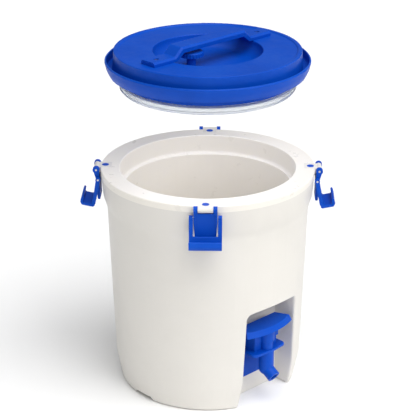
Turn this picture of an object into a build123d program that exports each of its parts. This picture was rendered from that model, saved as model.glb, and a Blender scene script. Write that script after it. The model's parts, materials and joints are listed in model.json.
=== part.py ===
"""Insulated drink dispenser: a double-walled tub with a press tap and a lid held by four draw latches.

Millimetres, +Z up, origin at the centre of the base. The tap faces -Y. The lid is modelled lifted off,
above the tub, and the four latches hang open.
"""

from build123d import *
import os
from math import cos, radians, sin, sqrt, tan

# ---- Tub: outer skin ----
tub_height = 353.0
rim_radius = 165.0
rim_edge_round = 2.0
collar_draft = 3.6  # the collar is this much smaller at its foot than at the rim
collar_height = 41.0
neck_height = 19.0  # the cone under the collar
neck_step = 5.5  # how far the cone goes in
wall_taper = 9.0  # the wall goes in this much from the cone to the base chamfer
base_chamfer_height = 44.0
base_chamfer_step = 8.5
base_edge_round = 5.0
skin_wall = 3.0
parting_depth = 10.5  # the rim moulding ends this far under the rim

# ---- Feet: channels across the base leave four pads ----
foot_channel_depth = 7.0
foot_channel_top_width = 32.0
foot_channel_bottom_width = 44.0

# ---- Tub: inner liner ----
rim_width = 30.0
mouth_depth = 30.0
mouth_draft = 1.0
ledge_width = 5.5
ledge_cove = 4.0
mouth_edge_round = 1.5
cavity_draft = 8.0
cavity_floor_round = 22.0
liner_wall = 3.0
base_insulation = 36.0

# ---- Tap recess in the wall, open at the front and below ----
recess_depth = 67.0  # from the rim's radius to the recess's back wall
recess_half_width = 52.0
recess_side_draft = 3.0
recess_back_height = 143.0
recess_ceiling_angle = 25.0  # the ceiling rises outward from the back wall
recess_corner_round = 7.0
recess_edge_round = 3.0
recess_insulation = 9.0

# ---- Tap ----
stem_offset = 33.0  # stem axis in front of the recess's back wall
backplate_half_width = 36.0
backplate_bottom = 33.0
backplate_top = 118.0
backplate_thickness = 6.0
backplate_corner = 6.0
flange_top = 87.0
flange_thickness = 4.0
flange_half_width = 34.0
flange_front = 41.3  # in front of the recess's back wall
flange_bow = 3.5
flange_corner = 7.0
cap_top = 129.0
cap_plate_thickness = 8.5
cap_plate_flare_front = 4.5
cap_plate_flare_side = 2.4
cap_half_width_front = 46.6
cap_half_width_back = 36.7
cap_back = 14.0  # in front of the recess's back wall
cap_tip = 35.4
cap_apex = 45.5
skirt_half_width = 26.2
skirt_front = 33.6
skirt_bottom = 101.0
skirt_wall = 1.6
skirt_gap = 0.4
column_radius = 12.0
tap_travel = 8.0
press_room = 3.0  # left over between cap and block at full travel
tube_radius = 11.8
tube_joint = 64.0
spout_drop_angle = 32.0
spout_length = 20.5
spout_radius = 10.2
spout_bore = 6.6
outlet_chamber_radius = 7.8
elbow_drop = 11.4
chamber_radius = 7.5
chamber_top = 92.0
seat_radius = 4.6
seat_thickness = 4.0
seat_rise = 2.6  # the seat's underside above the joint between tube and spout
stem_radius = 3.0
slide_clearance = 0.05
poppet_radius = 6.4
poppet_thickness = 3.2
poppet_gap = 0.1
oring_thickness = 2.0
oring_radius = 5.2
spring_outer_radius = 7.0
spring_wire_radius = 0.7
spring_turns = 7
spring_seat_depth = 6.0
spring_well_radius = 8.2
spring_end_gap = 0.05
stem_collar_radius = 4.8
stem_collar_height = 3.0

# ---- Tap shank and its nut ----
shank_height = 77.5
shank_radius = 9.0
shank_bore = 6.0
shank_clearance = 0.3
shank_nut_radius = 15.0
shank_nut_thickness = 9.0
washer_radius = 14.5
washer_thickness = 2.5
shank_tail = 4.0

# ---- Latches ----
latch_azimuths = {"front_left": 225.0, "front_right": 315.0, "back_right": 45.0, "back_left": 135.0}
lever_pin_out = 6.0  # outside the rim's radius
lever_pin_drop = 3.0  # under the rim's top
hook_pin_in = 3.0  # inside the lever pin
hook_pin_drop = 14.0  # under the lever pin
pin_radius = 1.6
pin_clearance = 0.06
bracket_half_width = 11.0
bracket_thickness = 8.0
bracket_inset = 17.0
bracket_barrel_radius = 4.2
bracket_screw_inset = 7.3
lever_gap = 0.5
lever_ear_radius = 5.3
lever_half_width = 17.3
lever_end_half_width = 14.8
lever_length = 48.5
lever_thickness = 3.6
lever_flange_width = 2.6
lever_flange_rise = 1.9
lever_end_inset = 3.9
hook_gap = 0.9
hook_arm_width = 5.8
hook_arm_outer = 2.0
hook_arm_inner = 3.5
hook_ear_radius = 3.9
hook_rest_angle = 12.0
hook_closed_lean = 5.0
hook_floor = 3.8
hook_bar_height = 13.5
hook_lip_height = 9.0
hook_lip_thickness = 3.6
hook_lip_clearance = 0.6
hook_top_clearance = 0.4
screw_radius = 1.75
screw_head_radius = 4.0
screw_head_height = 2.4
screw_length = 12.0
plug_radius = 5.4
plug_thickness = 2.2
plug_proud = 0.4
boss_radius = 5.0

# ---- Lid ----
lid_lift = 150.0  # how far the lid stands above its seat
lid_seat_gap = 0.4
lid_setback = 10.0  # the lid's lip is this much smaller than the rim
lid_wall = 3.0
lid_flange_height = 21.6
lid_flange_taper = 7.5
lid_lip_thickness = 3.4
lid_channel_floor = 8.0
lid_disc_setback = 14.0  # the raised disc's edge inside the lip's outer edge
lid_disc_draft = 1.5
lid_disc_rise = 14.6  # above the lip
lid_bead_width = 6.0
lid_bead_rise = 1.6
bowl_radius = 82.7
bowl_depth = 22.0
bowl_draft = 2.0
bowl_floor_round = 18.0
plug_clearance = 1.9
plug_step = 1.8  # the plug above the gasket is this much larger than the gasket's inside
plug_depth = 14.0
lid_base_thickness = 3.0
lid_join_gap = 0.1
gasket_top_drop = 10.0  # the gasket hangs from here, below the lid's seat
gasket_depth = 23.5
gasket_thickness = 3.0
gasket_draft = 2.4
gasket_fin = 1.2
gasket_fin_height = 1.8
gasket_fin_count = 2

# ---- Lid handle ----
handle_screw_half_spacing = 104.0
handle_half_width = 14.5
handle_thickness = 9.0
handle_foot_thickness = 5.5
handle_foot_end = 16.0
handle_foot_start = 26.0
handle_rise = 12.0
handle_run = 13.0
handle_chamfer = 2.8
handle_screw_radius = 2.4
handle_screw_head_radius = 4.3
handle_screw_head_height = 2.6
handle_screw_length = 15.0
handle_screw_sink = 1.6
handle_boss_radius = 6.5

# ---- Lid vent ----
vent_offset = 34.0
vent_neck_radius = 7.0
vent_bore = 2.5
vent_flange_radius = 13.0
vent_flange_thickness = 2.5
vent_cap_radius = 17.8
vent_cap_height = 7.0
vent_cap_wall = 2.2
vent_cap_ribs = 24
vent_rib_radius = 0.9
vent_handle_gap = 5.5
vent_seal_thickness = 1.5

# ---- Worked-out places ----
rim_z = tub_height
parting_z = tub_height - parting_depth
mouth_radius = rim_radius - rim_width
ledge_z = rim_z - mouth_depth
cavity_radius = mouth_radius - mouth_draft - ledge_width
cavity_floor_z = foot_channel_depth + skin_wall + base_insulation + liner_wall
recess_back = recess_depth - rim_radius
stem_y = recess_back - stem_offset
seat_z = tube_joint + seat_rise
poppet_top = seat_z - poppet_gap
stem_top = cap_top - 4.0
cap_ceiling = cap_top - cap_plate_thickness - 0.5
block_top = cap_top - cap_plate_thickness - tap_travel - press_room
lever_pin_r = rim_radius + lever_pin_out
lever_pin_z = rim_z - lever_pin_drop
hook_pin_r = lever_pin_r - hook_pin_in
hook_pin_z = lever_pin_z - hook_pin_drop
bracket_z = rim_z - bracket_thickness
lid_seat_z = rim_z + lid_seat_gap
lip_radius = rim_radius - lid_setback
lip_inner_radius = lip_radius - lid_lip_thickness
lip_z = lid_seat_z + lid_flange_height
disc_radius = lip_radius - lid_disc_setback
disc_z = lip_z + lid_disc_rise
bowl_z = disc_z - bowl_depth
gasket_inner = mouth_radius - plug_clearance - gasket_thickness
gasket_top = lid_seat_z - gasket_top_drop
hook_arm_start = lever_half_width + hook_gap
hook_half_width = hook_arm_start + hook_arm_width
foot_z = disc_z + handle_foot_thickness
grip_z = foot_z + handle_rise


def spin(points):
    """A solid of revolution about Z, from (radius, height, corner radius) points."""
    places = [(r, 0, z) for r, z, _ in points]
    outline = FilletPolyline(*places, radius=[p[2] for p in points], close=True)
    return revolve(make_face(outline), Axis.Z)


def plate(points, y_low, y_high):
    """A plate with an outline of (x, z, corner radius) points, from y_low to y_high."""
    places = [(x, y_low, z) for x, z, _ in points]
    outline = FilletPolyline(*places, radius=[p[2] for p in points], close=True)
    return extrude(make_face(outline), amount=y_high - y_low, dir=(0, 1, 0))


def slab(points, z_low, z_high):
    """A slab with a plan of (x, y, corner radius) points, from z_low to z_high."""
    places = [(x, y, z_low) for x, y, _ in points]
    outline = FilletPolyline(*places, radius=[p[2] for p in points], close=True)
    return extrude(make_face(outline), amount=z_high - z_low, dir=(0, 0, 1))


def post(radius, z_low, z_high, x=0.0, y=0.0):
    """An upright cylinder."""
    return Pos(x, y, (z_low + z_high) / 2) * Cylinder(radius, z_high - z_low)


def rod_y(radius, y_low, y_high, x, z):
    """A cylinder along Y."""
    return Pos(x, (y_low + y_high) / 2, z) * Rot(90, 0, 0) * Cylinder(radius, y_high - y_low)


def block(x_low, x_high, y_low, y_high, z_low, z_high):
    """A box from its lowest to its highest corner."""
    middle = Pos((x_low + x_high) / 2, (y_low + y_high) / 2, (z_low + z_high) / 2)
    return middle * Box(x_high - x_low, y_high - y_low, z_high - z_low)


def save(node, *shapes):
    """Writes one node, one solid or a group of separate solids."""
    solids = [solid for shape in shapes for solid in shape.solids()]
    export_step(solids[0] if len(solids) == 1 else Compound(solids), f"parts/{node}.step")


# ---- Tub ----


def outer_body(inset, bottom, top):
    """The space inside the tub's outer surface, moved in by inset, from bottom to top."""
    collar_foot_z = rim_z - collar_height
    neck_foot_z = collar_foot_z - neck_height
    collar_r = rim_radius - collar_draft
    neck_r = collar_r - neck_step
    wall_r = neck_r - wall_taper
    base_r = wall_r - base_chamfer_step
    top_r = rim_radius - collar_draft * (rim_z - top) / collar_height
    return spin(
        [
            (0, bottom, 0),
            (base_r - inset, bottom, base_edge_round),
            (wall_r - inset, base_chamfer_height, 0),
            (neck_r - inset, neck_foot_z, 0),
            (collar_r - inset, collar_foot_z, 0),
            (top_r - inset, top, 0),
            (0, top, 0),
        ]
    )


def recess_space(grow):
    """The tap recess, grown by the walls around it: a box with a sloping ceiling."""
    half = recess_half_width + grow
    foot_half = half + recess_side_draft
    back = recess_back + grow
    front = -rim_radius - grow
    low = -grow
    top = 2 * recess_back_height
    side_slope = recess_side_draft / recess_back_height
    top_half = foot_half - side_slope * (top - low)
    walls = plate([(foot_half, low, 0), (top_half, top, 0), (-top_half, top, 0), (-foot_half, low, 0)], front, back)
    back_height = recess_back_height + grow
    front_height = back_height + (back - front) * tan(radians(recess_ceiling_angle))
    ceiling = Polyline(
        (-2 * half, front, low),
        (-2 * half, front, front_height),
        (-2 * half, back, back_height),
        (-2 * half, back, low),
        close=True,
    )
    space = walls & extrude(make_face(ceiling), amount=4 * half, dir=(1, 0, 0))
    corners = [
        edge
        for edge in space.edges()
        if abs(edge.center().X) > half / 2 and abs((edge % 0.5).Y) > 0.5 and edge.center().Z > recess_back_height
    ]
    return fillet(corners, recess_corner_round + grow)


def foot_channels():
    """Tapered channels across the base: one right across, and one from its middle to the back."""
    top = foot_channel_top_width / 2
    bottom = foot_channel_bottom_width / 2
    section = [(-bottom, -1, 0), (-top, foot_channel_depth, 2), (top, foot_channel_depth, 2), (bottom, -1, 0)]
    along_y = plate(section, 0, rim_radius)
    along_x = Rot(0, 0, 90) * plate(section, -rim_radius, rim_radius)
    return [along_x, along_y]


def shank_hole():
    """The tap's hole through the recess's back wall, the insulation and the liner."""
    return rod_y(shank_radius + shank_clearance, recess_back - 1, 0, 0, shank_height)


def make_outer_shell():
    skin = outer_body(0, 0, parting_z) - recess_space(0)
    front_edges = [
        edge
        for edge in skin.edges().filter_by(GeomType.LINE, reverse=True)
        if abs(abs(edge.center().X) - recess_half_width) < 6 and edge.center().Y < recess_back - 20
        and edge.length > 30
    ]
    skin = fillet(front_edges, recess_edge_round)
    hollow = outer_body(skin_wall, foot_channel_depth + skin_wall, parting_z) - recess_space(skin_wall)
    return skin - hollow - foot_channels() - shank_hole()


def liner_body():
    """The liner's outside, below the rim."""
    low = cavity_floor_z - liner_wall
    return spin(
        [
            (0, low, 0),
            (cavity_radius - cavity_draft + liner_wall, low, cavity_floor_round + liner_wall),
            (cavity_radius + liner_wall, ledge_z - liner_wall, 0),
            (mouth_radius + liner_wall, ledge_z - liner_wall, 0),
            (mouth_radius + liner_wall, parting_z, 0),
            (0, parting_z, 0),
        ]
    ) - recess_space(skin_wall + recess_insulation)


def cavity_space():
    """What the tub holds, up through the stepped mouth."""
    above = rim_z + 5
    return spin(
        [
            (0, cavity_floor_z, 0),
            (cavity_radius - cavity_draft, cavity_floor_z, cavity_floor_round),
            (cavity_radius, ledge_z, 1.0),
            (mouth_radius - mouth_draft, ledge_z, ledge_cove),
            (mouth_radius, rim_z, 0),
            (mouth_radius, above, 0),
            (0, above, 0),
        ]
    ) - recess_space(skin_wall + recess_insulation + liner_wall)


def at_latches(shape):
    """One copy of a shape, made on +X, at each latch."""
    return [Rot(0, 0, azimuth) * shape for azimuth in latch_azimuths.values()]


def bracket_bosses():
    """The pillars under the rim that take the latch screws."""
    foot = bracket_z - screw_length - skin_wall
    room = outer_body(skin_wall, foot - 1, parting_z)
    boss = post(boss_radius, foot, parting_z, rim_radius - bracket_screw_inset)
    return at_latches(boss & room)


def rim_ring():
    """The rim moulding: the flat top and the band down to the parting line."""
    parting_r = rim_radius - collar_draft * parting_depth / collar_height
    return spin(
        [
            (mouth_radius - 2, parting_z, 0),
            (parting_r, parting_z, 0),
            (rim_radius, rim_z, rim_edge_round),
            (mouth_radius - 2, rim_z, 0),
        ]
    )


def bracket_body():
    """The part of a latch bracket that lies in the rim."""
    return block(
        rim_radius - bracket_inset, lever_pin_r, -bracket_half_width, bracket_half_width, bracket_z, rim_z
    )


def bracket_screw_hole():
    r = rim_radius - bracket_screw_inset
    return post(screw_radius, bracket_z - screw_length, rim_z, r)


def make_inner_liner():
    mouth = cavity_space()
    rim = rim_ring() - mouth
    mouth_edge = [
        edge
        for edge in rim.edges().filter_by(GeomType.CIRCLE)
        if abs(edge.center().Z - rim_z) < 0.01 and abs(edge.radius - mouth_radius) < 0.01
    ]
    rim = fillet(mouth_edge, mouth_edge_round)
    rim = (rim + bracket_bosses()) - at_latches(bracket_body()) - at_latches(bracket_screw_hole())
    return rim + (liner_body() - mouth) - shank_hole()


def make_foam_core():
    foam = outer_body(skin_wall, foot_channel_depth + skin_wall, parting_z) - recess_space(skin_wall)
    return foam - liner_body() - bracket_bosses() - shank_hole()


# ---- Latches, each made on +X and turned into place ----


def make_bracket():
    barrel = rod_y(bracket_barrel_radius, -bracket_half_width, bracket_half_width, lever_pin_r, lever_pin_z)
    bracket = bracket_body() + barrel
    bracket -= rod_y(pin_radius, -bracket_half_width, bracket_half_width, lever_pin_r, lever_pin_z)
    r = rim_radius - bracket_screw_inset
    bracket -= post(screw_radius, bracket_z, rim_z, r)
    bracket -= post(screw_head_radius, rim_z - plug_thickness - screw_head_height, rim_z, r)
    return bracket - post(plug_radius, rim_z - plug_thickness, rim_z + 1, r)


def make_bracket_screw():
    r = rim_radius - bracket_screw_inset
    head_top = rim_z - plug_thickness
    head_foot = head_top - screw_head_height
    return post(screw_head_radius, head_foot, head_top, r) + post(
        screw_radius, bracket_z - screw_length, head_foot, r
    )


def make_bracket_plug():
    r = rim_radius - bracket_screw_inset
    return fillet(
        post(plug_radius, rim_z - plug_thickness, rim_z + plug_proud, r).edges().group_by(Axis.Z)[-1], 0.35
    )


def make_lever():
    """The lever: two ears on the lever pin, and a dished plate hanging from them."""
    end_z = lever_pin_z - lever_length
    end_r = lever_pin_r - lever_end_inset
    half = lever_thickness / 2
    shoulder_z = lever_pin_z - lever_ear_radius - lever_gap
    web = plate(
        [
            (lever_pin_r - half, shoulder_z, 0),
            (hook_pin_r - half, hook_pin_z, 0),
            (end_r - half, end_z, 1.7),
            (end_r + half, end_z, 1.7),
            (hook_pin_r + half, hook_pin_z, 0),
            (lever_pin_r + half, shoulder_z, 0),
        ],
        -lever_half_width,
        lever_half_width,
    )
    outer = half + lever_flange_rise
    side = plate(
        [
            (lever_pin_r - lever_ear_radius + 0.6, lever_pin_z, 0),
            (hook_pin_r - half, hook_pin_z, 6),
            (end_r - half, end_z, 1.7),
            (end_r + half + 0.8, end_z, 1.7),
            (hook_pin_r + outer, hook_pin_z, 6),
            (lever_pin_r + lever_ear_radius - 0.6, lever_pin_z, 0),
        ],
        -lever_half_width,
        lever_half_width,
    )
    ears = rod_y(lever_ear_radius, -lever_half_width, lever_half_width, lever_pin_r, lever_pin_z) + side
    inner = lever_half_width - lever_flange_width
    ear_inner = bracket_half_width + lever_gap
    far = 3 * tub_height
    lever = ears - block(0, far, -inner, inner, end_z + 2.2, shoulder_z + 0.01) + web
    lever -= block(0, far, -ear_inner, ear_inner, shoulder_z, far)
    taper = (lever_half_width - lever_end_half_width) / (hook_pin_z - end_z)
    for side_sign in (-1, 1):
        waste = Polyline(
            (0, side_sign * lever_half_width, hook_pin_z - 5),
            (0, side_sign * (lever_half_width + 20), hook_pin_z - 5),
            (0, side_sign * (lever_half_width + 20), end_z - 5),
            (0, side_sign * (lever_half_width - taper * (hook_pin_z - end_z)), end_z - 5),
            close=True,
        )
        lever -= extrude(make_face(waste), amount=far, dir=(1, 0, 0))
    wide = 2 * lever_half_width
    lever -= rod_y(pin_radius + pin_clearance, -wide, wide, lever_pin_r, lever_pin_z)
    return lever - rod_y(pin_radius + pin_clearance, -wide, wide, hook_pin_r, hook_pin_z)


def hook_sizes():
    """How far the hook reaches from its pin, so that it goes over the lid's lip when it is closed."""
    lean = radians(hook_closed_lean)
    across = hook_pin_r - sqrt(lip_inner_radius**2 - hook_half_width**2)
    reach = (lip_z + hook_top_clearance - hook_pin_z + across * sin(lean)) / cos(lean)
    lip_inside = (across + hook_lip_clearance - (reach - hook_lip_height) * sin(lean)) / cos(lean)
    return reach, lip_inside


def make_hook():
    """The hook frame: two arms on the hook pin, a cross bar, and a lip that turns back up."""
    reach, lip_inside = hook_sizes()
    floor_z = hook_pin_z - reach
    low_z = floor_z - hook_floor
    lip_in = hook_pin_r + lip_inside
    lip_out = lip_in + hook_lip_thickness
    outer = hook_pin_r + hook_arm_outer
    inner = hook_pin_r - hook_arm_inner
    section = plate(
        [
            (inner, floor_z + hook_bar_height, 1.2),
            (inner + 1.0, low_z, 3.5),
            (lip_out - 2.5, low_z, 3.2),
            (lip_out + 0.6, floor_z + 1.0, 2.0),
            (lip_out, floor_z + hook_lip_height, 1.7),
            (lip_in, floor_z + hook_lip_height, 1.7),
            (lip_in, floor_z, 2.5),
            (outer, floor_z, 3.0),
            (outer, floor_z + hook_bar_height, 1.2),
        ],
        -hook_half_width,
        hook_half_width,
    )
    arm_profile = [
        (hook_pin_r - hook_ear_radius + 0.6, hook_pin_z, 0),
        (inner, hook_pin_z - 0.6 * reach, 6),
        (inner, floor_z + 2, 0),
        (outer, floor_z + 2, 0),
        (outer, hook_pin_z - 0.6 * reach, 6),
        (hook_pin_r + hook_ear_radius - 0.6, hook_pin_z, 0),
    ]
    hook = section
    for low in (-hook_half_width, hook_arm_start):
        high = low + hook_arm_width
        hook += plate(arm_profile, low, high) + rod_y(hook_ear_radius, low, high, hook_pin_r, hook_pin_z)
    hook -= rod_y(pin_radius, -2 * hook_half_width, 2 * hook_half_width, hook_pin_r, hook_pin_z)
    return turned_about_hook_pin(hook, hook_rest_angle)


def turned_about_hook_pin(shape, outward):
    """Swings a shape outward about the hook pin, in degrees."""
    return Pos(hook_pin_r, 0, hook_pin_z) * Rot(0, -outward, 0) * Pos(-hook_pin_r, 0, -hook_pin_z) * shape


def make_lever_pin():
    return rod_y(pin_radius, -lever_half_width, lever_half_width, lever_pin_r, lever_pin_z)


def make_hook_pin():
    return rod_y(pin_radius, -hook_half_width, hook_half_width, hook_pin_r, hook_pin_z)


# ---- Tap ----


def column_plan(shrink):
    """The plan of the tap's column: a block from the back plate with a round nose at the stem."""
    half = skirt_half_width - shrink
    front = recess_back - skirt_front + shrink
    return half, front, column_radius - shrink


def column(shrink, back, z_low, z_high):
    half, front, nose = column_plan(shrink)
    body = block(-half, half, front, back, z_low, z_high)
    return fillet(body.edges().filter_by(Axis.Z).group_by(Axis.Y)[0], 1.5) + post(nose, z_low, z_high, 0, stem_y)


def shank_body():
    """The tap's shank and the bridge from the back plate to the tube."""
    end = recess_back + skin_wall + recess_insulation + liner_wall + washer_thickness + shank_nut_thickness
    return rod_y(shank_radius, stem_y, end + shank_tail, 0, shank_height)


def make_tap_body():
    face = recess_back - backplate_thickness
    back = plate(
        [
            (-backplate_half_width, backplate_bottom, backplate_corner),
            (backplate_half_width, backplate_bottom, backplate_corner),
            (backplate_half_width, backplate_top, backplate_corner),
            (-backplate_half_width, backplate_top, backplate_corner),
        ],
        face,
        recess_back,
    )
    front = recess_back - flange_front
    flange = slab(
        [
            (-flange_half_width, face, 0),
            (-flange_half_width, front, flange_corner),
            (0, front - flange_bow, 60),
            (flange_half_width, front, flange_corner),
            (flange_half_width, face, 0),
        ],
        flange_top - flange_thickness,
        flange_top,
    )
    body = back + fillet(flange.edges().group_by(Axis.Z)[-1], 1.2)
    body += column(skirt_wall + skirt_gap, face, flange_top - flange_thickness, block_top)
    body += post(tube_radius, tube_joint, flange_top, 0, stem_y) + shank_body()
    body -= post(chamber_radius, seat_z + seat_thickness, chamber_top, 0, stem_y)
    body -= post(seat_radius, tube_joint, chamber_top, 0, stem_y)
    body -= post(outlet_chamber_radius, tube_joint, seat_z, 0, stem_y)
    body -= post(stem_radius + slide_clearance, chamber_top - 1, block_top, 0, stem_y)
    body -= post(oring_radius, chamber_top, chamber_top + oring_thickness, 0, stem_y)
    body -= post(spring_well_radius, block_top - spring_seat_depth, block_top, 0, stem_y)
    return body - rod_y(shank_bore, stem_y, 0, 0, shank_height)


def spout_axis(distance):
    """A point on the spout's axis, this far from where it leaves the tube's axis."""
    drop = radians(spout_drop_angle)
    corner_z = tube_joint - elbow_drop
    return (0, stem_y - distance * cos(drop), corner_z - distance * sin(drop))


def spout_rod(radius, start, length):
    """A cylinder along the spout's axis."""
    frame = Plane(origin=spout_axis(start), z_dir=(0, -cos(radians(spout_drop_angle)), -sin(radians(spout_drop_angle))))
    return extrude(frame * Circle(radius), amount=length)


def round_ended_post(radius):
    """A post down the tube's axis to the elbow, with a ball end."""
    low = tube_joint - elbow_drop - radius
    outline = [(0, low, 0), (radius, low, 0.98 * radius), (radius, tube_joint, 0), (0, tube_joint, 0)]
    return Pos(0, stem_y, 0) * spin(outline)


def make_tap_spout():
    spout = spout_rod(spout_radius, 0, spout_length)
    body = round_ended_post(tube_radius) + fillet(spout.edges().sort_by(Axis.Y)[0], 0.8)
    return body - round_ended_post(outlet_chamber_radius) - spout_rod(spout_bore, 0, spout_length + 1)


def cap_outline(z, front_flare, side_flare):
    """The cap's plan: a fan with a bowed front edge."""
    back_y = recess_back - cap_back
    tip_y = recess_back - cap_tip - front_flare
    apex_y = recess_back - cap_apex - front_flare
    back_half = cap_half_width_back + side_flare
    tip_half = cap_half_width_front + side_flare
    bow = ThreePointArc((tip_half, tip_y, z), (0, apex_y, z), (-tip_half, tip_y, z))
    sides = Polyline((-tip_half, tip_y, z), (-back_half, back_y, z), (back_half, back_y, z), (tip_half, tip_y, z))
    return make_face(bow + sides)


def make_tap_cap():
    plate_foot = cap_top - cap_plate_thickness
    top = loft(
        [cap_outline(plate_foot, cap_plate_flare_front, cap_plate_flare_side), cap_outline(cap_top, 0, 0)]
    )
    top = fillet(top.edges().group_by(Axis.Z)[-1], 0.9)
    back = recess_back - cap_back
    skirt = column(0, back, skirt_bottom, plate_foot + 0.5)
    hollow = column(skirt_wall, back + 1, skirt_bottom - 1, cap_ceiling)
    collar = post(stem_collar_radius, cap_ceiling - stem_collar_height, plate_foot, 0, stem_y)
    return (top + skirt) - hollow + collar - post(stem_radius, skirt_bottom, stem_top, 0, stem_y)


def make_tap_stem():
    return post(stem_radius, poppet_top - poppet_thickness, stem_top, 0, stem_y)


def make_tap_poppet():
    disc = post(poppet_radius, poppet_top - poppet_thickness, poppet_top, 0, stem_y)
    return disc - post(stem_radius, 0, cap_top, 0, stem_y)


def ring_at(radius, hole, z_low, z_high):
    """A flat ring around the stem."""
    return post(radius, z_low, z_high, 0, stem_y) - post(hole, z_low, z_high, 0, stem_y)


def make_tap_spring():
    low = block_top - spring_seat_depth + spring_wire_radius + spring_end_gap
    high = cap_ceiling - spring_wire_radius - spring_end_gap
    coil_radius = spring_outer_radius - spring_wire_radius
    height = high - low
    path = Helix(pitch=height / spring_turns, height=height, radius=coil_radius)
    start = Plane(origin=path @ 0, z_dir=path % 0)
    return Pos(0, stem_y, low) * sweep(start * Circle(spring_wire_radius), path=path, is_frenet=True)


def shank_ring(outer, hole, y_low, y_high):
    ring = rod_y(outer, y_low, y_high, 0, shank_height)
    return ring - rod_y(hole, y_low - 1, y_high + 1, 0, shank_height)


def make_shank_nut():
    y_low = recess_back + skin_wall + recess_insulation + liner_wall + washer_thickness
    hexagon = Plane(origin=(0, y_low, shank_height), x_dir=(1, 0, 0), z_dir=(0, 1, 0)) * RegularPolygon(
        shank_nut_radius, 6
    )
    nut = extrude(hexagon, amount=shank_nut_thickness)
    return nut - rod_y(shank_radius, y_low - 1, y_low + shank_nut_thickness + 1, 0, shank_height)


# ---- Lid, made on its seat and lifted ----


def lid_top_profile():
    """The lid's upper skin, from the bowl's floor to the foot of the flange."""
    w = lid_wall
    flange_foot = lip_radius - lid_flange_taper
    floor_z = lid_seat_z + lid_channel_floor
    disc_foot = disc_radius + lid_disc_draft
    bead_in = disc_radius - lid_bead_width
    inner_foot = gasket_inner
    return [
        (0, bowl_z, 0),
        (bowl_radius - bowl_draft, bowl_z, bowl_floor_round),
        (bowl_radius, disc_z - lid_bead_rise, 1.5),
        (bead_in - 1.5, disc_z - lid_bead_rise, 1.0),
        (bead_in, disc_z, 0.7),
        (disc_radius, disc_z, 1.4),
        (disc_foot, floor_z, 1.5),
        (lip_inner_radius, floor_z, 1.5),
        (lip_inner_radius, lip_z, 1.6),
        (lip_radius, lip_z, 2.2),
        (lip_radius - 0.35 * lid_flange_taper, lid_seat_z + 0.45 * lid_flange_height, 30),
        (flange_foot, lid_seat_z, 1.2),
        (inner_foot, lid_seat_z, 0),
        (inner_foot, lid_seat_z + w, 0),
        (disc_foot - w, lid_seat_z + w, 1.0),
        (disc_radius - w, disc_z - lid_bead_rise - w, 1.0),
        (bowl_radius + w, disc_z - lid_bead_rise - w, 1.0),
        (bowl_radius + w - bowl_draft, bowl_z - w, bowl_floor_round + w),
        (0, bowl_z - w, 0),
    ]


def foot_places():
    return [sign * handle_screw_half_spacing for sign in (-1, 1)]


def handle_screw_foot():
    """The lowest point of the handle screws."""
    return foot_z - handle_screw_sink - handle_screw_head_height - handle_screw_length


def make_lid_top():
    lid = spin(lid_top_profile())
    under = disc_z - lid_bead_rise - lid_wall
    for x in foot_places():
        lid += post(handle_boss_radius, handle_screw_foot() - 1, under + 0.5, x)
        lid -= post(handle_screw_radius, handle_screw_foot(), disc_z, x)
    return lid - post(vent_neck_radius, bowl_z - lid_wall - 1, bowl_z + 1, -vent_offset)


def make_lid_base():
    """The plug under the lid: a pan welded inside the flange's foot."""
    r = gasket_inner
    low = lid_seat_z - plug_depth
    pan = spin(
        [
            (0, low, 0),
            (r, low, 0.8),
            (r, gasket_top, 0),
            (r + plug_step, gasket_top, 0.8),
            (r + plug_step, lid_seat_z - lid_join_gap, 0),
            (r, lid_seat_z - lid_join_gap, 0),
            (r, lid_seat_z + lid_wall, 0),
            (r - lid_base_thickness, lid_seat_z + lid_wall, 0),
            (r - lid_base_thickness, low + lid_base_thickness, 1.0),
            (0, low + lid_base_thickness, 0),
        ]
    )
    return pan - post(vent_bore, low - 1, lid_seat_z, -vent_offset)


def make_lid_foam():
    r = gasket_inner - lid_base_thickness
    low = lid_seat_z - plug_depth + lid_base_thickness
    under = disc_z - lid_bead_rise - lid_wall
    foam = spin(
        [
            (0, low, 0),
            (r, low, 1.0),
            (r, lid_seat_z + lid_wall, 0),
            (disc_radius + lid_disc_draft - lid_wall, lid_seat_z + lid_wall, 1.0),
            (disc_radius - lid_wall, under, 1.0),
            (bowl_radius + lid_wall, under, 1.0),
            (bowl_radius + lid_wall - bowl_draft, bowl_z - lid_wall, bowl_floor_round + lid_wall),
            (0, bowl_z - lid_wall, 0),
        ]
    )
    for x in foot_places():
        foam -= post(handle_boss_radius, handle_screw_foot() - 1, disc_z, x)
    return foam - post(vent_neck_radius, low - 1, disc_z, -vent_offset)


def make_lid_gasket():
    """A soft skirt around the plug, with fins that touch the mouth's wall."""
    inner = gasket_inner
    outer = inner + gasket_thickness
    low = lid_seat_z - gasket_depth
    foot_out = outer - gasket_draft
    gasket = spin(
        [
            (inner, gasket_top, 0),
            (outer, gasket_top, 0.8),
            (foot_out, low, 1.0),
            (foot_out - gasket_thickness, low, 1.0),
            (inner, lid_seat_z - plug_depth, 0),
        ]
    )
    for index in range(gasket_fin_count):
        z = gasket_top - (index + 0.6) * (gasket_top - low) / (gasket_fin_count + 0.4)
        gasket += spin(
            [
                (outer - gasket_thickness + 0.5, z - gasket_fin_height, 0),
                (outer + gasket_fin - 0.4, z - gasket_fin_height / 2, 0.3),
                (outer - gasket_thickness + 0.5, z, 0),
            ]
        )
    return gasket


def handle_top_at(x):
    """The height of the handle's upper surface at a distance from its middle."""
    start = handle_screw_half_spacing - handle_foot_start
    return foot_z + handle_rise * min(1, max(0, (start - x) / handle_run))


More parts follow.
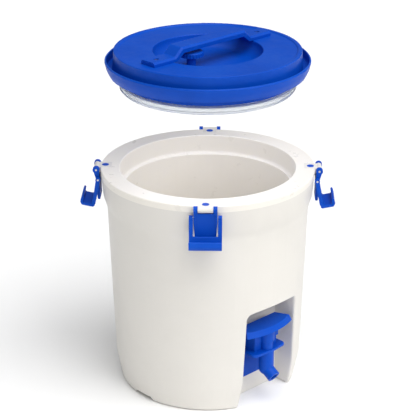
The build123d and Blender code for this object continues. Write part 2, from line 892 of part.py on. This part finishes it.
def make_handle():
    """A bridge handle: two screwed feet, sloping risers and a flat grip, all from one strap."""
    end = handle_screw_half_spacing + handle_foot_end
    start = handle_screw_half_spacing - handle_foot_start
    top = start - handle_run
    t = handle_thickness
    low = disc_z - lid_bead_rise
    slope_shift = t * tan(radians(22.5))
    outline = [
        (-end, low, 1.0),
        (-end, foot_z, 0),
        (-start, foot_z, 4),
        (-top, grip_z, 5),
        (top, grip_z, 5),
        (start, foot_z, 4),
        (end, foot_z, 0),
        (end, low, 1.0),
        (start - slope_shift, low, 2),
        (top - slope_shift, grip_z - t, 3),
        (-top + slope_shift, grip_z - t, 3),
        (-start + slope_shift, low, 2),
    ]
    strap = plate(outline, -handle_half_width, handle_half_width)
    upper = [
        edge
        for edge in strap.edges()
        if abs(abs(edge.center().Y) - handle_half_width) < 0.01
        and abs(edge.center().Z - handle_top_at(abs(edge.center().X))) < 0.8
    ]
    strap = chamfer(upper, handle_chamfer)
    for x in foot_places():
        strap -= post(handle_screw_radius, low - 1, grip_z, x)
        strap -= post(handle_screw_head_radius, foot_z - handle_screw_sink - handle_screw_head_height, grip_z, x)
    return strap


def make_handle_screw(x):
    head_top = foot_z - handle_screw_sink
    head_foot = head_top - handle_screw_head_height
    head = post(handle_screw_head_radius, head_foot, head_top, x)
    socket = Pos(x, 0, head_top - 1.2) * extrude(RegularPolygon(2.0, 6), amount=3)
    return head + post(handle_screw_radius, handle_screw_foot(), head_foot, x) - socket


def vent_cap_top():
    return grip_z - handle_thickness - vent_handle_gap


def make_vent_body():
    """The vent's tube: it stands in the bowl's floor and goes down through the plug."""
    low = lid_seat_z - plug_depth + lid_base_thickness
    top = vent_cap_top() - vent_cap_wall - slide_clearance - vent_seal_thickness
    tube = post(vent_neck_radius, low, top, -vent_offset)
    tube += post(vent_flange_radius, bowl_z, bowl_z + vent_flange_thickness, -vent_offset)
    return tube - post(vent_bore, low - 1, top + 1, -vent_offset)


def make_vent_seal():
    top = vent_cap_top() - vent_cap_wall - slide_clearance
    return post(vent_neck_radius, top - vent_seal_thickness, top, -vent_offset)


def make_vent_cap():
    """A ribbed cap that turns on the vent's tube."""
    top = vent_cap_top()
    cap = post(vent_cap_radius, top - vent_cap_height, top, -vent_offset)
    cap = fillet(cap.edges().group_by(Axis.Z)[-1], 1.5)
    for index in range(vent_cap_ribs):
        angle = radians(360 / vent_cap_ribs * index)
        x = -vent_offset + vent_cap_radius * cos(angle)
        y = vent_cap_radius * sin(angle)
        cap += post(vent_rib_radius, top - vent_cap_height, top - 1.6, x, y)
    cap -= post(vent_cap_radius - vent_cap_wall, 0, top - vent_cap_wall - 3, -vent_offset)
    return cap - post(vent_neck_radius + slide_clearance, 0, top - vent_cap_wall, -vent_offset)


def lifted(shape):
    return Pos(0, 0, lid_lift) * shape


def write_tub():
    save("outer_shell", make_outer_shell())
    save("inner_liner", make_inner_liner())
    save("foam_core", make_foam_core())
    save("latch_brackets", *at_latches(make_bracket()))
    save("bracket_screws", *at_latches(make_bracket_screw()))
    save("bracket_screw_plugs", *at_latches(make_bracket_plug()))


def write_latches():
    pieces = {
        "lever": make_lever(),
        "hook": make_hook(),
        "lever_pin": make_lever_pin(),
        "hook_pin": make_hook_pin(),
    }
    for place, azimuth in latch_azimuths.items():
        for name, shape in pieces.items():
            save(f"{name}_{place}", Rot(0, 0, azimuth) * shape)


def write_tap():
    save("tap_body", make_tap_body())
    save("tap_spout", make_tap_spout())
    save("tap_cap", make_tap_cap())
    save("tap_stem", make_tap_stem())
    save("tap_poppet", make_tap_poppet())
    save("tap_stem_oring", ring_at(oring_radius, stem_radius + 0.02, chamber_top, chamber_top + oring_thickness))
    save("tap_spring", make_tap_spring())
    wall = recess_back + skin_wall + recess_insulation + liner_wall
    save("shank_washer", shank_ring(washer_radius, shank_radius, wall, wall + washer_thickness))
    save("shank_nut", make_shank_nut())


def write_lid():
    save("lid_top", lifted(make_lid_top()))
    save("lid_base", lifted(make_lid_base()))
    save("lid_foam", lifted(make_lid_foam()))
    save("lid_gasket", lifted(make_lid_gasket()))
    save("lid_handle", lifted(make_handle()))
    save("handle_screws", *[lifted(make_handle_screw(x)) for x in foot_places()])
    save("vent_body", lifted(make_vent_body()))
    save("vent_seal", lifted(make_vent_seal()))
    save("vent_cap", lifted(make_vent_cap()))


os.makedirs("parts", exist_ok=True)
write_tub()
write_latches()
write_tap()
write_lid()
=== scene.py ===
"""The looks of the insulated drink dispenser: its materials, finer pieces, lights and camera."""

import json
from math import cos, pi, radians, sin

import bmesh
import bpy
from mathutils import Matrix, Vector

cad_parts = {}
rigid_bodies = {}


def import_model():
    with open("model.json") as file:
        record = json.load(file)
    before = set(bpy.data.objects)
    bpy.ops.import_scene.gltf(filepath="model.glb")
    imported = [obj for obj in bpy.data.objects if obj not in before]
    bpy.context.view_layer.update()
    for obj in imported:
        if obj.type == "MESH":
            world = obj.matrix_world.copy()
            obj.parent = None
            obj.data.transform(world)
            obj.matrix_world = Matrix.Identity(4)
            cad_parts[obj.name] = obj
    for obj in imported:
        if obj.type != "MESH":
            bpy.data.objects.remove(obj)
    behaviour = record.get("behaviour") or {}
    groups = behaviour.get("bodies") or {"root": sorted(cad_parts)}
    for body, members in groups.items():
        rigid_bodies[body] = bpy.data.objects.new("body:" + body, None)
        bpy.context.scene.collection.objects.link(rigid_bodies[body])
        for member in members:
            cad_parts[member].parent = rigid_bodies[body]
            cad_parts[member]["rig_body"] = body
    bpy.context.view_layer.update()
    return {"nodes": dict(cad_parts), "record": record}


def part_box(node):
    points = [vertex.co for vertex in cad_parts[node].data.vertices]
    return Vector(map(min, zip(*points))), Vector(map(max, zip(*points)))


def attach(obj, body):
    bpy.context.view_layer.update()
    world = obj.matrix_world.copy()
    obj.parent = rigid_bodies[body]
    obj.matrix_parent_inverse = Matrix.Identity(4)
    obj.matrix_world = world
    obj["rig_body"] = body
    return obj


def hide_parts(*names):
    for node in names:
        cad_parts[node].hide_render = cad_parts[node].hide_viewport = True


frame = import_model()

MM = 0.001
DISC_RISE = 14.6 * MM  # the lid's raised disc stands this far above its lip
FLANGE_LINE_WIDTH = 0.45 * MM
# Each raised line on the lid's flange: how far under the lip, and how far inside it.
FLANGE_LINES = (
    (3.8 * MM, 0.9 * MM),
    (8.0 * MM, 1.9 * MM),
    (16.5 * MM, 5.0 * MM),
    (19.0 * MM, 6.2 * MM),
)
LATCHES = ("front_left", "front_right", "back_right", "back_left")

# ---- Materials ----

# A mix node has a set of sockets for each kind of value. These are the ones for colours.
MIX_SHARE = 0
MIX_COLOUR_A = 6
MIX_COLOUR_B = 7
MIX_COLOUR_OUT = 2


class Nodes:
    """A small helper that builds a material's node tree."""

    def __init__(self, name):
        self.material = bpy.data.materials.new(name)
        self.material.use_nodes = True
        self.tree = self.material.node_tree
        self.tree.nodes.clear()
        self.output = self.add("ShaderNodeOutputMaterial")
        self.shader = self.add("ShaderNodeBsdfPrincipled")
        self.link(self.shader, "BSDF", self.output, "Surface")
        self.place = self.add("ShaderNodeTexCoord")

    def add(self, kind, **values):
        node = self.tree.nodes.new(kind)
        for key, value in values.items():
            if hasattr(node, key):
                setattr(node, key, value)
            else:
                node.inputs[key.replace("_", " ")].default_value = value
        return node

    def link(self, source, output, target, socket):
        self.tree.links.new(source.outputs[output], target.inputs[socket])

    def noise(self, scale, detail=3.0, roughness=0.5, stretch=(1, 1, 1), distortion=0.0):
        """Noise over the object's own space; scale is features per metre."""
        mapping = self.add("ShaderNodeMapping")
        mapping.inputs["Scale"].default_value = stretch
        self.link(self.place, "Object", mapping, "Vector")
        node = self.add(
            "ShaderNodeTexNoise", Scale=scale, Detail=detail, Roughness=roughness, Distortion=distortion
        )
        self.link(mapping, "Vector", node, "Vector")
        return node

    def ramp(self, source, output, stops):
        """Maps a value through colours or greys: stops are (position, colour) pairs."""
        node = self.add("ShaderNodeValToRGB")
        points = node.color_ramp.elements
        while len(points) < len(stops):
            points.new(0.5)
        for point, (position, colour) in zip(points, stops):
            point.position = position
            point.color = (*colour, 1)
        self.link(source, output, node, "Fac")
        return node

    def bump(self, source, output, distance, strength=1.0, normal=None):
        node = self.add("ShaderNodeBump", Strength=strength, Distance=distance)
        self.link(source, output, node, "Height")
        if normal is not None:
            self.link(normal, "Normal", node, "Normal")
        return node


def mixed(colour, other, share):
    return tuple(a + (b - a) * share for a, b in zip(colour, other))


def grey(value):
    return (value, value, value)


def moulded_plastic(
    name, colour, pale, roughness, grain=0.03 * MM, grain_scale=1400, tint=0.06, edge=0.5 * MM, shine=0.5
):
    """Moulded plastic: a slightly uneven colour, a fine orange peel, soft sink marks and rubbed edges.

    The edges rub through to the pale colour. grain is the peel's depth, and edge the rubbed edges' width.
    """
    n = Nodes(name)
    clouds = n.noise(9, detail=5, roughness=0.6, distortion=0.4)
    dark = mixed(colour, (0, 0, 0), tint)
    light = mixed(colour, pale, tint * 1.5)
    base = n.ramp(clouds, "Fac", [(0.3, dark), (0.5, colour), (0.72, light)])
    rounded = n.add("ShaderNodeBevel", samples=4, Radius=edge)
    facing = n.add("ShaderNodeVectorMath", operation="DOT_PRODUCT")
    true_normal = n.add("ShaderNodeNewGeometry")
    n.link(rounded, "Normal", facing, 0)
    n.link(true_normal, "Normal", facing, 1)
    scuffs = n.noise(260, detail=6, roughness=0.7)
    rubbed = n.add("ShaderNodeMapRange")
    rubbed.inputs["From Min"].default_value = 0.96
    rubbed.inputs["From Max"].default_value = 0.75
    n.link(facing, "Value", rubbed, "Value")
    worn = n.add("ShaderNodeMath", operation="MULTIPLY", use_clamp=True)
    n.link(rubbed, "Result", worn, 0)
    n.link(scuffs, "Fac", worn, 1)
    mix = n.add("ShaderNodeMix", data_type="RGBA")
    n.link(worn, "Value", mix, MIX_SHARE)
    n.link(base, "Color", mix, MIX_COLOUR_A)
    mix.inputs[MIX_COLOUR_B].default_value = (*pale, 1)
    n.link(mix, MIX_COLOUR_OUT, n.shader, "Base Color")
    gloss = n.noise(40, detail=6, roughness=0.65)
    rough = n.ramp(gloss, "Fac", [(0.3, grey(roughness * 0.85)), (0.7, grey(roughness * 1.2))])
    n.link(rough, "Color", n.shader, "Roughness")
    peel = n.noise(grain_scale, detail=2, roughness=0.5)
    fine = n.bump(peel, "Fac", grain)
    sink = n.noise(26, detail=2)
    wavy = n.bump(sink, "Fac", 0.4 * MM, strength=0.35, normal=fine)
    n.link(wavy, "Normal", n.shader, "Normal")
    n.shader.inputs["IOR"].default_value = 1.5
    n.shader.inputs["Specular IOR Level"].default_value = shine
    return n.material


def brushed_steel():
    n = Nodes("turned_steel")
    lines = n.noise(900, detail=6, roughness=0.7, stretch=(1, 1, 0.04))
    tone = n.ramp(lines, "Fac", [(0.3, (0.42, 0.42, 0.43)), (0.7, (0.66, 0.66, 0.65))])
    n.link(tone, "Color", n.shader, "Base Color")
    n.shader.inputs["Metallic"].default_value = 1.0
    rough = n.ramp(lines, "Fac", [(0.3, grey(0.22)), (0.7, grey(0.38))])
    n.link(rough, "Color", n.shader, "Roughness")
    n.link(n.bump(lines, "Fac", 0.02 * MM), "Normal", n.shader, "Normal")
    return n.material


def foam_material():
    n = Nodes("rigid_foam")
    clouds = n.noise(60, detail=6)
    tone = n.ramp(clouds, "Fac", [(0.3, (0.72, 0.58, 0.28)), (0.7, (0.86, 0.74, 0.42))])
    n.link(tone, "Color", n.shader, "Base Color")
    cells = n.add("ShaderNodeTexVoronoi", Scale=900.0)
    n.link(n.place, "Object", cells, "Vector")
    n.link(n.bump(cells, "Distance", 0.3 * MM), "Normal", n.shader, "Normal")
    n.shader.inputs["Roughness"].default_value = 0.9
    return n.material


def silicone():
    """Translucent silicone: milky, faintly blue where the plug behind it shows through."""
    n = Nodes("clear_silicone")
    clouds = n.noise(30, detail=4)
    tone = n.ramp(clouds, "Fac", [(0.3, (0.80, 0.86, 0.93)), (0.7, (0.92, 0.95, 0.97))])
    n.link(tone, "Color", n.shader, "Base Color")
    rough = n.ramp(n.noise(120, detail=5), "Fac", [(0.3, grey(0.28)), (0.7, grey(0.42))])
    n.link(rough, "Color", n.shader, "Roughness")
    n.shader.inputs["Transmission Weight"].default_value = 0.9
    n.shader.inputs["IOR"].default_value = 1.41
    n.link(n.bump(n.noise(700, detail=2), "Fac", 0.04 * MM), "Normal", n.shader, "Normal")
    return n.material


def seal_rubber():
    n = Nodes("seal_rubber")
    clouds = n.noise(80, detail=5)
    tone = n.ramp(clouds, "Fac", [(0.3, (0.60, 0.59, 0.56)), (0.7, (0.74, 0.73, 0.70))])
    n.link(tone, "Color", n.shader, "Base Color")
    rough = n.ramp(n.noise(300, detail=4), "Fac", [(0.3, grey(0.5)), (0.7, grey(0.7))])
    n.link(rough, "Color", n.shader, "Roughness")
    n.link(n.bump(n.noise(1800, detail=2), "Fac", 0.03 * MM), "Normal", n.shader, "Normal")
    return n.material


BLUE = (0.0, 0.068, 0.50)
PALE_BLUE = (0.02, 0.16, 0.68)
CREAM = (0.75, 0.725, 0.68)
# The liner's colour is the tub's cream plastic painted lighter than CREAM, a lit copy that stands in for
# the light falling on the rim top.
CREAM_PAINTED_LIT = (0.87, 0.835, 0.77)
PALE = (0.90, 0.88, 0.84)
MILKY = (0.80, 0.80, 0.77)

MATERIALS = {
    "tub_white": moulded_plastic(
        "tub_plastic", CREAM, PALE, 0.42, grain=0.06 * MM, grain_scale=1100, tint=0.03, edge=0.8 * MM
    ),
    # Painted light: the liner uses the lighter, lit copy of the tub's cream plastic.
    "liner_white": moulded_plastic(
        "liner_plastic_painted_lit", CREAM_PAINTED_LIT, PALE, 0.3, grain=0.02 * MM, tint=0.02, edge=0.6 * MM
    ),
    "blue_plastic": moulded_plastic("royal_blue_plastic", BLUE, PALE_BLUE, 0.44, tint=0.10, shine=0.16),
    "stem_plastic": moulded_plastic("stem_plastic", MILKY, PALE, 0.35),
    "foam": foam_material(),
    "steel": brushed_steel(),
    "seal_rubber": seal_rubber(),
    "clear_silicone": silicone(),
}


# ---- Pieces ----

SLOT_OF = {subpart["node"]: subpart["material_slot"] for subpart in frame["record"]["subparts"]}
SAME_POINT = 0.002 * MM  # points nearer than this are one
FLAT_ANGLE = radians(0.8)  # faces that meet at less than this are one flat face
CREASE_ANGLE = radians(30)  # edges sharper than this are rounded
SMOOTH_ANGLE = radians(40)  # edges of turned pieces that are softer than this are shaded smooth
FLAT_FACE_WEIGHT = 80  # how far large faces rule the shading at their edges
TURN_STEPS = 192
BEAD_CORNERS = 8


def finish_cad_nodes():
    """Gives each carried-over CAD node the material of its record slot."""
    for subpart in frame["record"]["subparts"]:
        node = frame["nodes"][subpart["node"]]
        node.data.materials.clear()
        node.data.materials.append(MATERIALS[subpart["material_slot"]])


def add_piece(name, mesh):
    piece = bpy.data.objects.new(name, mesh)
    bpy.context.scene.collection.objects.link(piece)
    return piece


def dress(piece, node):
    """The piece takes the material and slot of a CAD node, and moves with it."""
    slot = SLOT_OF[node]
    piece.data.materials.clear()
    piece.data.materials.append(MATERIALS[slot])
    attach(piece, frame["nodes"][node]["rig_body"])


def softened(node, width):
    """A copy of a CAD node with real rounded edges, as the mould leaves them; it stands for the node."""
    build = bmesh.new()
    build.from_mesh(frame["nodes"][node].data)
    bmesh.ops.remove_doubles(build, verts=build.verts, dist=SAME_POINT)
    bmesh.ops.dissolve_limit(build, angle_limit=FLAT_ANGLE, verts=build.verts, edges=build.edges)
    mesh = bpy.data.meshes.new(node + "_moulded")
    build.to_mesh(mesh)
    build.free()
    piece = add_piece(node + "_moulded", mesh)
    bevel = piece.modifiers.new("edges", "BEVEL")
    bevel.width = width
    bevel.segments = 3
    bevel.limit_method = "ANGLE"
    bevel.angle_limit = CREASE_ANGLE
    bevel.use_clamp_overlap = True
    mesh.shade_smooth()
    piece.modifiers.new("normals", "WEIGHTED_NORMAL").weight = FLAT_FACE_WEIGHT
    apply_modifiers(piece)
    dress(piece, node)
    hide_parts(node)


def apply_modifiers(piece):
    bpy.context.view_layer.update()
    depsgraph = bpy.context.evaluated_depsgraph_get()
    applied = bpy.data.meshes.new_from_object(piece.evaluated_get(depsgraph))
    piece.modifiers.clear()
    piece.data = applied


def turned(name, profile):
    """A ring or disc swept round the upright axis; the profile is closed, in (radius, height)."""
    build = bmesh.new()
    corners = [build.verts.new((radius, 0, height)) for radius, height in profile]
    loop = [build.edges.new((corner, corners[index - 1])) for index, corner in enumerate(corners)]
    bmesh.ops.spin(
        build,
        geom=corners + loop,
        cent=(0, 0, 0),
        axis=(0, 0, 1),
        angle=2 * pi,
        steps=TURN_STEPS,
        use_merge=True,
    )
    bmesh.ops.remove_doubles(build, verts=build.verts, dist=0.0001 * MM)
    bmesh.ops.recalc_face_normals(build, faces=build.faces)
    mesh = bpy.data.meshes.new(name)
    build.to_mesh(mesh)
    build.free()
    mesh.shade_smooth()
    mesh.set_sharp_from_angle(angle=SMOOTH_ANGLE)
    return add_piece(name, mesh)


def bead_profile(radius, height, width):
    """A small round section, for a raised line round a turned part."""
    turns = [2 * pi * corner / BEAD_CORNERS for corner in range(BEAD_CORNERS)]
    return [(radius + width * cos(turn), height + width * sin(turn)) for turn in turns]


def lid_lines():
    """The fine raised lines round the lid's flange."""
    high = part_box("lid_top")[1]
    lip = high.z - DISC_RISE
    for drop, inset in FLANGE_LINES:
        line = turned("flange_line", bead_profile(high.x - inset, lip - drop, FLANGE_LINE_WIDTH))
        dress(line, "lid_top")


# How wide the rounding of each node's edges is, in millimetres.
SOFT_EDGES = {
    "outer_shell": 0.8,
    "inner_liner": 0.8,
    "latch_brackets": 0.5,
    "bracket_screw_plugs": 0.25,
    "lid_top": 0.5,
    "lid_base": 0.5,
    "lid_handle": 0.7,
    "tap_body": 0.6,
    "tap_cap": 0.7,
    "tap_spout": 0.5,
    "vent_cap": 0.3,
    "vent_body": 0.3,
    "shank_nut": 0.5,
}
SOFT_LEVER_EDGE = 0.5
SOFT_HOOK_EDGE = 0.6

finish_cad_nodes()
for node, width in SOFT_EDGES.items():
    softened(node, width * MM)
for place in LATCHES:
    softened(f"lever_{place}", SOFT_LEVER_EDGE * MM)
    softened(f"hook_{place}", SOFT_HOOK_EDGE * MM)
lid_lines()

# ---- Stage, light and camera ----

CAMERA_PLACE = Vector((-1.493, -1.554, 1.1825))
CAMERA_AZIMUTH = 43.86  # degrees to the left of the tap's side
CAMERA_PITCH = 22.69  # degrees below level
CAMERA_LENS = 129.8
CAMERA_SENSOR = 36
WORLD_STRENGTH = 0.24
UNDER_LID_HEIGHT = 0.46  # between the rim and the lid
FLOOR_HALF_WIDTH = 12
FLOOR_DROP = 0.5 * MM  # keeps the floor's face apart from the foot's


def camera_axes():
    """The camera's right, up and looking directions."""
    azimuth, pitch = radians(CAMERA_AZIMUTH), radians(CAMERA_PITCH)
    looking = Vector((sin(azimuth) * cos(pitch), cos(azimuth) * cos(pitch), -sin(pitch)))
    right = Vector((cos(azimuth), -sin(azimuth), 0))
    return right, right.cross(looking), looking


def make_camera():
    data = bpy.data.cameras.new("camera")
    data.lens = CAMERA_LENS
    data.sensor_width = CAMERA_SENSOR
    camera = bpy.data.objects.new("camera", data)
    bpy.context.scene.collection.objects.link(camera)
    right, up, looking = camera_axes()
    turn = Matrix((right, up, -looking)).transposed().to_4x4()
    camera.matrix_world = Matrix.Translation(CAMERA_PLACE) @ turn
    bpy.context.scene.camera = camera


def soft_sun(name, towards, strength, spread, colour=(1, 1, 1)):
    """A broad, far light; towards is the direction from the object to the light."""
    data = bpy.data.lights.new(name, "SUN")
    data.energy = strength
    data.angle = radians(spread)
    data.color = colour
    light = bpy.data.objects.new(name, data)
    bpy.context.scene.collection.objects.link(light)
    light.rotation_euler = towards.to_track_quat("Z", "Y").to_euler()


def under_lid_light():
    """A weak round light under the lid, which lights the cavity as the open sky would."""
    data = bpy.data.lights.new("under_lid", "AREA")
    data.shape = "DISK"
    data.size = 0.24
    data.energy = 0.26
    data.color = (1, 0.985, 0.95)
    light = bpy.data.objects.new("under_lid", data)
    bpy.context.scene.collection.objects.link(light)
    light.location.z = UNDER_LID_HEIGHT


def make_lights():
    right, _, looking = camera_axes()
    front = -Vector((looking.x, looking.y, 0)).normalized()
    above = Vector((0, 0, 1))
    soft_sun("key", 0.85 * right + 0.5 * front + 0.95 * above, 1.5, 60, (1, 0.995, 0.98))
    soft_sun("top", 0.3 * front + 0.1 * right + above, 1.8, 50)
    soft_sun("fill", front + 0.1 * right + 0.45 * above, 0.35, 25, (1, 0.99, 0.97))
    under_lid_light()
    world = bpy.data.worlds.new("studio")
    world.use_nodes = True
    background = world.node_tree.nodes["Background"]
    background.inputs["Color"].default_value = (0.98, 0.99, 1, 1)
    background.inputs["Strength"].default_value = WORLD_STRENGTH
    bpy.context.scene.world = world
    bpy.context.scene.view_settings.view_transform = "Standard"


def make_floor():
    mesh = bpy.data.meshes.new("floor")
    build = bmesh.new()
    bmesh.ops.create_grid(build, x_segments=1, y_segments=1, size=FLOOR_HALF_WIDTH)
    build.to_mesh(mesh)
    build.free()
    floor = bpy.data.objects.new("floor", mesh)
    bpy.context.scene.collection.objects.link(floor)
    floor.location.z = -FLOOR_DROP
    material = bpy.data.materials.new("floor")
    material.use_nodes = True
    shader = material.node_tree.nodes["Principled BSDF"]
    shader.inputs["Base Color"].default_value = (0.96, 0.96, 0.96, 1)
    shader.inputs["Roughness"].default_value = 0.8
    mesh.materials.append(material)


make_camera()
make_lights()
make_floor()
